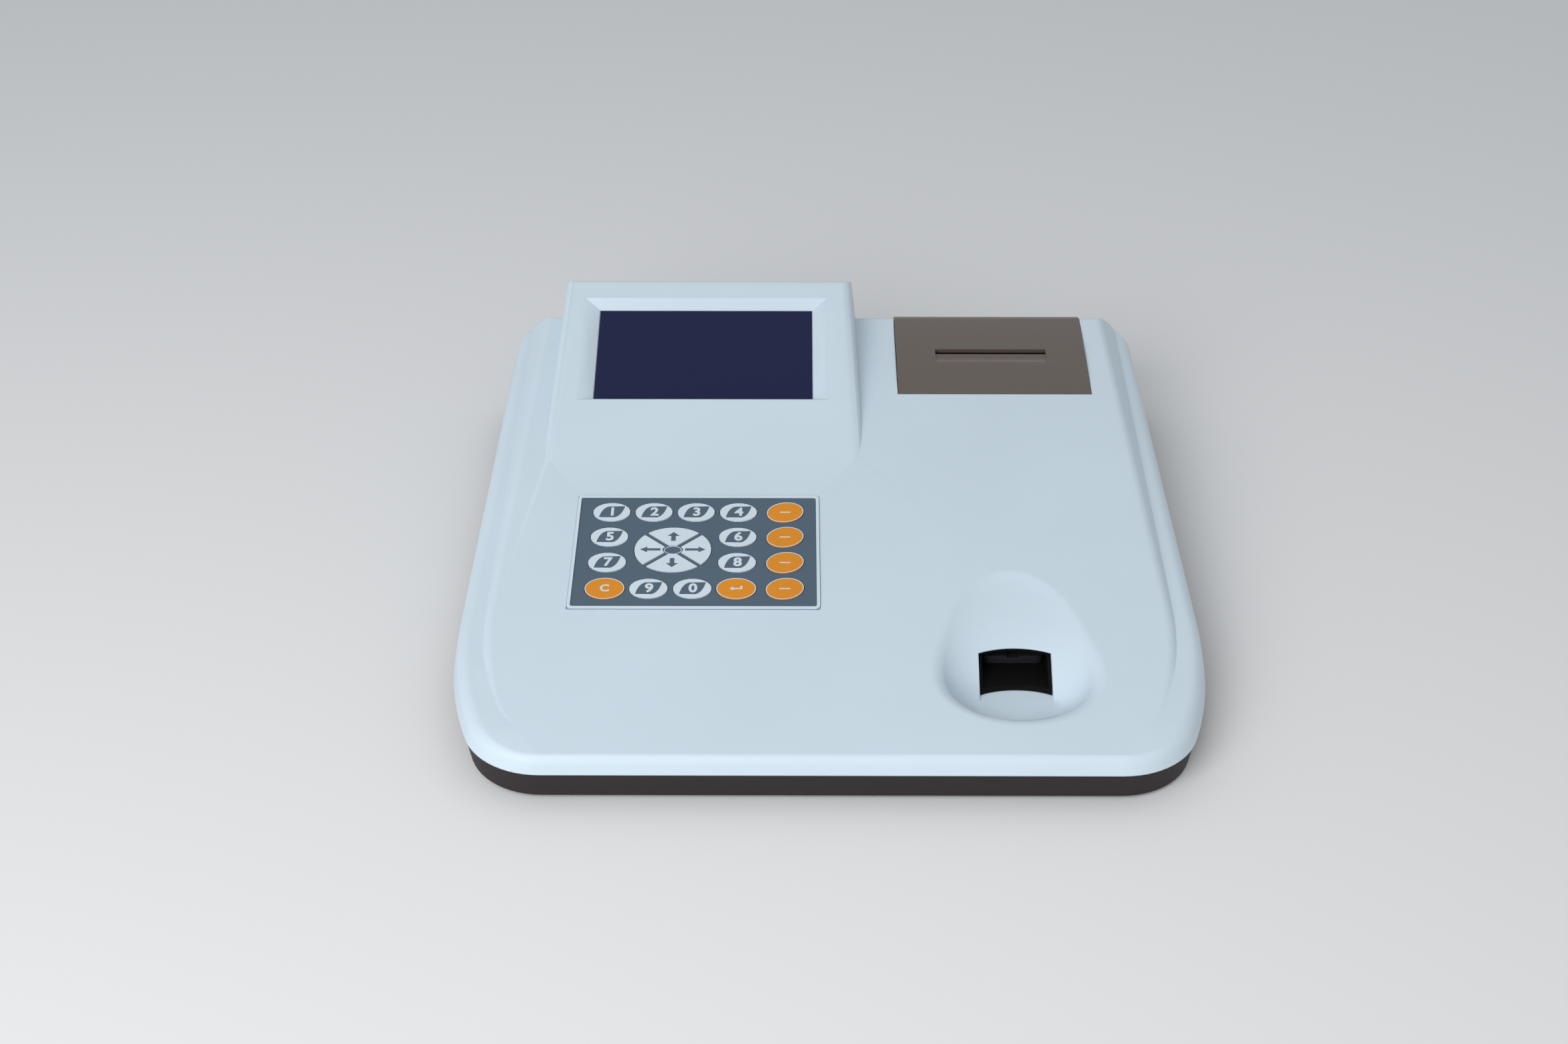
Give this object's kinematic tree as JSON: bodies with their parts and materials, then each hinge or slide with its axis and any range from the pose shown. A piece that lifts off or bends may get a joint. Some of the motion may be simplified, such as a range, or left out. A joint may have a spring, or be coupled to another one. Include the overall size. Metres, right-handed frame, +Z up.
{
  "type": "urine analyzer",
  "caption": "Desk-top urine test strip reader: sloped case, raised display pod, keypad, motor-driven strip tray in a finger dish, and a strip printer under a hinged cover.",
  "frame": {"origin": "middle of the footprint, on the surface that the feet stand on", "axes": "+X to the user's right, +Y from the front edge to the back, +Z up"},
  "size_m": [0.35, 0.335, 0.084],
  "materials": {
    "housing": "satin, moulded",
    "base": "matt, moulded",
    "feet": "matt",
    "screws": "zinc plated",
    "lens": "clear, tinted",
    "display": "pressed",
    "board": "solder mask",
    "components": "moulded",
    "panel": "matt, printed",
    "digit_keys": "matt, printed",
    "arrow_keys": "matt, printed",
    "command_keys": "matt, printed",
    "guide": "matt, moulded",
    "tray": "matt, moulded",
    "gears": "moulded",
    "motors": "plated",
    "steel": "plated",
    "cover": "smoked, polished",
    "bay": "matt, moulded",
    "paper": "thermal paper, smooth",
    "core": "card",
    "platen": "ground",
    "head": "milled",
    "lever": "moulded",
    "transformer": "laminated, varnished",
    "capacitors": "sleeved",
    "fittings": "moulded",
    "serial": "plated"
  },
  "bodies": {
    "chassis": {"top_housing": "housing", "base_tray": "base", "rubber_feet": "feet", "case_screws": "screws", "display_lens": "lens", "display_module": "display", "display_board": "board", "keypad_panel": "panel", "keypad_board": "board", "tray_guide": "guide", "tray_motor": "motors", "optical_head": "guide", "cover_pin": "steel", "printer_bay": "bay", "paper_spindle": "steel", "printer_frame": "steel", "feed_motor": "motors", "print_head": "head", "main_board": "board", "board_parts": "components", "power_board": "board", "transformer": "transformer", "smoothing_capacitors": "capacitors", "power_inlet": "fittings", "power_switch": "fittings", "serial_port": "serial"},
    "tray": {"strip_tray": "tray"},
    "pinion": {"tray_pinion": "gears"},
    "cover": {"printer_cover": "cover"},
    "paper": {"paper_core": "core", "paper_roll": "paper"},
    "platen": {"platen_shaft": "steel", "platen_roller": "platen", "platen_gear": "gears"},
    "drive": {"feed_pinion": "steel"},
    "lever": {"release_lever": "lever"},
    "rocker": {"power_rocker": "fittings"},
    "key_0_pad": {"key_0": "digit_keys"},
    "key_1_pad": {"key_1": "digit_keys"},
    "key_2_pad": {"key_2": "digit_keys"},
    "key_3_pad": {"key_3": "digit_keys"},
    "key_4_pad": {"key_4": "digit_keys"},
    "key_5_pad": {"key_5": "digit_keys"},
    "key_6_pad": {"key_6": "digit_keys"},
    "key_7_pad": {"key_7": "digit_keys"},
    "key_8_pad": {"key_8": "digit_keys"},
    "key_9_pad": {"key_9": "digit_keys"},
    "key_clear_pad": {"key_clear": "command_keys"},
    "key_enter_pad": {"key_enter": "command_keys"},
    "key_command_1_pad": {"key_command_1": "command_keys"},
    "key_command_2_pad": {"key_command_2": "command_keys"},
    "key_command_3_pad": {"key_command_3": "command_keys"},
    "key_command_4_pad": {"key_command_4": "command_keys"},
    "key_up_pad": {"key_up": "arrow_keys"},
    "key_down_pad": {"key_down": "arrow_keys"},
    "key_left_pad": {"key_left": "arrow_keys"},
    "key_right_pad": {"key_right": "arrow_keys"}
  },
  "joints": [
    {"name": "tray_slide", "type": "slide", "parent": "chassis", "child": "tray", "axis": [0, -1, 0], "range_m": [0, 0.033]},
    {"name": "tray_pinion_spin", "type": "hinge", "parent": "chassis", "child": "pinion", "pos_m": [0.1105, 0.0025, 0.0157], "axis": [0, 0, 1], "range_deg": [-5, 245]},
    {"name": "cover_hinge", "type": "hinge", "parent": "chassis", "child": "cover", "pos_m": [0.089, 0.164, 0.049], "axis": [-1, 0, 0], "range_deg": [0, 90]},
    {"name": "paper_spin", "type": "hinge", "parent": "chassis", "child": "paper", "pos_m": [0.089, 0.1145, 0.027], "axis": [1, 0, 0], "continuous": true},
    {"name": "platen_spin", "type": "hinge", "parent": "chassis", "child": "platen", "pos_m": [0.089, 0.1415, 0.046], "axis": [1, 0, 0], "continuous": true},
    {"name": "feed_pinion_spin", "type": "hinge", "parent": "chassis", "child": "drive", "pos_m": [0.089, 0.1415, 0.0332], "axis": [1, 0, 0], "continuous": true},
    {"name": "lever_turn", "type": "hinge", "parent": "chassis", "child": "lever", "pos_m": [0.124, 0.1355, 0.047], "axis": [1, 0, 0], "range_deg": [0, 50]},
    {"name": "rocker_tip", "type": "hinge", "parent": "chassis", "child": "rocker", "pos_m": [-0.096, 0.1629, 0.034], "axis": [1, 0, 0], "range_deg": [0, 16]},
    {"name": "key_0_press", "type": "slide", "parent": "chassis", "child": "key_0_pad", "axis": [0, 0.1201, -0.9928], "range_m": [0, 0.0004], "stiffness_N_per_m": 200},
    {"name": "key_1_press", "type": "slide", "parent": "chassis", "child": "key_1_pad", "axis": [0, 0.1201, -0.9928], "range_m": [0, 0.0004], "stiffness_N_per_m": 200},
    {"name": "key_2_press", "type": "slide", "parent": "chassis", "child": "key_2_pad", "axis": [0, 0.1201, -0.9928], "range_m": [0, 0.0004], "stiffness_N_per_m": 200},
    {"name": "key_3_press", "type": "slide", "parent": "chassis", "child": "key_3_pad", "axis": [0, 0.1201, -0.9928], "range_m": [0, 0.0004], "stiffness_N_per_m": 200},
    {"name": "key_4_press", "type": "slide", "parent": "chassis", "child": "key_4_pad", "axis": [0, 0.1201, -0.9928], "range_m": [0, 0.0004], "stiffness_N_per_m": 200},
    {"name": "key_5_press", "type": "slide", "parent": "chassis", "child": "key_5_pad", "axis": [0, 0.1201, -0.9928], "range_m": [0, 0.0004], "stiffness_N_per_m": 200},
    {"name": "key_6_press", "type": "slide", "parent": "chassis", "child": "key_6_pad", "axis": [0, 0.1201, -0.9928], "range_m": [0, 0.0004], "stiffness_N_per_m": 200},
    {"name": "key_7_press", "type": "slide", "parent": "chassis", "child": "key_7_pad", "axis": [0, 0.1201, -0.9928], "range_m": [0, 0.0004], "stiffness_N_per_m": 200},
    {"name": "key_8_press", "type": "slide", "parent": "chassis", "child": "key_8_pad", "axis": [0, 0.1201, -0.9928], "range_m": [0, 0.0004], "stiffness_N_per_m": 200},
    {"name": "key_9_press", "type": "slide", "parent": "chassis", "child": "key_9_pad", "axis": [0, 0.1201, -0.9928], "range_m": [0, 0.0004], "stiffness_N_per_m": 200},
    {"name": "key_clear_press", "type": "slide", "parent": "chassis", "child": "key_clear_pad", "axis": [0, 0.1201, -0.9928], "range_m": [0, 0.0004], "stiffness_N_per_m": 200},
    {"name": "key_enter_press", "type": "slide", "parent": "chassis", "child": "key_enter_pad", "axis": [0, 0.1201, -0.9928], "range_m": [0, 0.0004], "stiffness_N_per_m": 200},
    {"name": "key_command_1_press", "type": "slide", "parent": "chassis", "child": "key_command_1_pad", "axis": [0, 0.1201, -0.9928], "range_m": [0, 0.0004], "stiffness_N_per_m": 200},
    {"name": "key_command_2_press", "type": "slide", "parent": "chassis", "child": "key_command_2_pad", "axis": [0, 0.1201, -0.9928], "range_m": [0, 0.0004], "stiffness_N_per_m": 200},
    {"name": "key_command_3_press", "type": "slide", "parent": "chassis", "child": "key_command_3_pad", "axis": [0, 0.1201, -0.9928], "range_m": [0, 0.0004], "stiffness_N_per_m": 200},
    {"name": "key_command_4_press", "type": "slide", "parent": "chassis", "child": "key_command_4_pad", "axis": [0, 0.1201, -0.9928], "range_m": [0, 0.0004], "stiffness_N_per_m": 200},
    {"name": "key_up_press", "type": "slide", "parent": "chassis", "child": "key_up_pad", "axis": [0, 0.1201, -0.9928], "range_m": [0, 0.0004], "stiffness_N_per_m": 200},
    {"name": "key_down_press", "type": "slide", "parent": "chassis", "child": "key_down_pad", "axis": [0, 0.1201, -0.9928], "range_m": [0, 0.0004], "stiffness_N_per_m": 200},
    {"name": "key_left_press", "type": "slide", "parent": "chassis", "child": "key_left_pad", "axis": [0, 0.1201, -0.9928], "range_m": [0, 0.0004], "stiffness_N_per_m": 200},
    {"name": "key_right_press", "type": "slide", "parent": "chassis", "child": "key_right_pad", "axis": [0, 0.1201, -0.9928], "range_m": [0, 0.0004], "stiffness_N_per_m": 200}
  ],
  "couplings": [
    {"joint": "tray_pinion_spin", "follows": "tray_slide", "rad_per_m": 125},
    {"joint": "feed_pinion_spin", "follows": "platen_spin", "ratio": -2.2}
  ]
}
